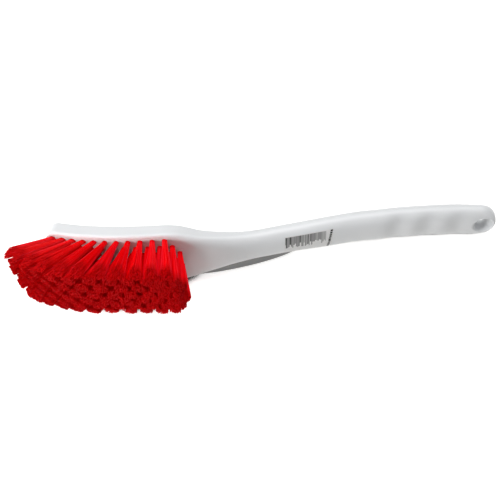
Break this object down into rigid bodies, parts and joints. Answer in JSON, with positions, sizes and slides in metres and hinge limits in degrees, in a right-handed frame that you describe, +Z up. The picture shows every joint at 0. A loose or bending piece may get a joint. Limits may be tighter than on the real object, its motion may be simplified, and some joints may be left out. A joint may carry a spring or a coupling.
{
  "type": "long-handled cleaning brush",
  "caption": "Long-handled cleaning brush with a bowed bristle head, a curved grip with finger grooves and a hanging hole, lying on its side.",
  "frame": {"origin": "centre of the base of the bounding box, on the surface that the brush lies on", "axes": "+X from the bristle toe to the handle's end, -Y and a little up the way the bristles point, +Z up; the brush lies on one side and leans on its back edge, where toe, heel and grip touch, so its width axis is rolled about X by 17.1 degrees from +Z"},
  "size_m": [0.4174, 0.1004, 0.0697],
  "materials": {
    "white_plastic": "satin",
    "red_bristle": "satin",
    "label_film": "matte"
  },
  "bodies": {
    "root": {"handle_block": "white_plastic", "label": "label_film", "tuft_pair_r1_1": "red_bristle", "tuft_pair_r1_2": "red_bristle", "tuft_pair_r1_3": "red_bristle", "tuft_pair_r1_4": "red_bristle", "tuft_pair_r1_5": "red_bristle", "tuft_pair_r2_1": "red_bristle", "tuft_pair_r2_2": "red_bristle", "tuft_pair_r2_3": "red_bristle", "tuft_pair_r2_4": "red_bristle", "tuft_pair_r2_5": "red_bristle", "tuft_pair_r3_1": "red_bristle", "tuft_pair_r3_2": "red_bristle", "tuft_pair_r3_3": "red_bristle", "tuft_pair_r3_4": "red_bristle", "tuft_pair_r3_5": "red_bristle", "tuft_pair_r3_6": "red_bristle", "tuft_pair_r4_1": "red_bristle", "tuft_pair_r4_2": "red_bristle", "tuft_pair_r4_3": "red_bristle", "tuft_pair_r4_4": "red_bristle", "tuft_pair_r4_5": "red_bristle", "tuft_pair_r5_1": "red_bristle", "tuft_pair_r5_2": "red_bristle", "tuft_pair_r5_3": "red_bristle", "tuft_pair_r5_4": "red_bristle", "tuft_pair_r5_5": "red_bristle", "tuft_pair_r5_6": "red_bristle", "tuft_pair_r6_1": "red_bristle", "tuft_pair_r6_2": "red_bristle", "tuft_pair_r6_3": "red_bristle", "tuft_pair_r6_4": "red_bristle", "tuft_pair_r6_5": "red_bristle", "tuft_pair_r7_1": "red_bristle", "tuft_pair_r7_2": "red_bristle", "tuft_pair_r7_3": "red_bristle", "tuft_pair_r7_4": "red_bristle", "tuft_pair_r7_5": "red_bristle", "tuft_single_r1_6": "red_bristle", "tuft_single_r2_6": "red_bristle", "tuft_single_r4_6": "red_bristle", "tuft_single_r6_6": "red_bristle", "tuft_single_r7_6": "red_bristle"}
  },
  "joints": []
}
